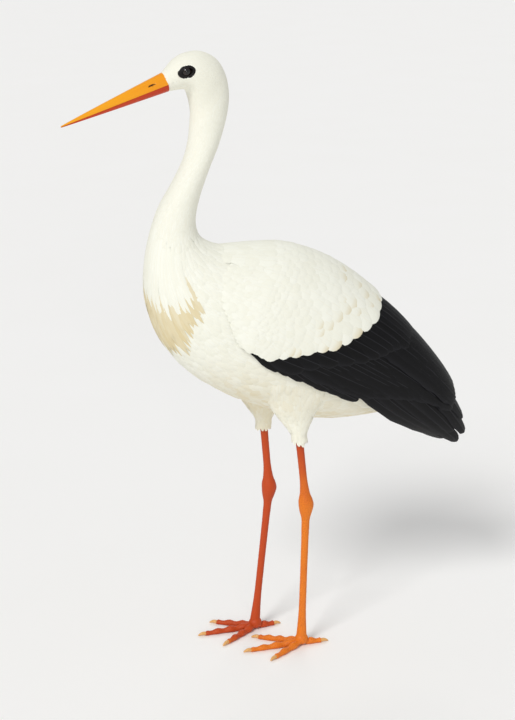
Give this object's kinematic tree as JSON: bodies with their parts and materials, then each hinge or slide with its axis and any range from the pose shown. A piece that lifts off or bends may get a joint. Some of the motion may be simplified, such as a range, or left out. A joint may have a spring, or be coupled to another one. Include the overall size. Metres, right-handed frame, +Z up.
{
  "type": "white stork",
  "caption": "Life-size still model of a standing white stork with folded wings, black flight feathers and orange bill and legs.",
  "frame": {"origin": "on the floor under the middle of the bird's bounding box", "axes": "+Z up, -X the way the body faces, -Y the bird's left side"},
  "size_m": [0.6602, 0.1994, 0.969],
  "materials": {
    "white_plumage": "matt",
    "black_plumage": "satin",
    "bill_horn_upper": "satin",
    "bill_horn_lower": "satin",
    "leg_skin": "satin",
    "claw_horn": "satin",
    "eye": "gloss"
  },
  "bodies": {
    "root": {"head": "white_plumage", "neck_upper": "white_plumage", "neck_middle": "white_plumage", "neck_lower": "white_plumage", "torso": "white_plumage", "tail": "white_plumage", "bill_upper": "bill_horn_upper", "bill_lower": "bill_horn_lower", "eye_left": "eye", "wing_left": "white_plumage", "flight_feathers_left": "black_plumage", "thigh_left": "white_plumage", "tibia_left": "leg_skin", "tarsus_left": "leg_skin", "foot_left": "leg_skin", "claw_middle_left": "claw_horn", "claw_inner_left": "claw_horn", "claw_outer_left": "claw_horn", "claw_hind_left": "claw_horn", "eye_right": "eye", "wing_right": "white_plumage", "flight_feathers_right": "black_plumage", "thigh_right": "white_plumage", "tibia_right": "leg_skin", "tarsus_right": "leg_skin", "foot_right": "leg_skin", "claw_middle_right": "claw_horn", "claw_inner_right": "claw_horn", "claw_outer_right": "claw_horn", "claw_hind_right": "claw_horn"}
  },
  "joints": []
}
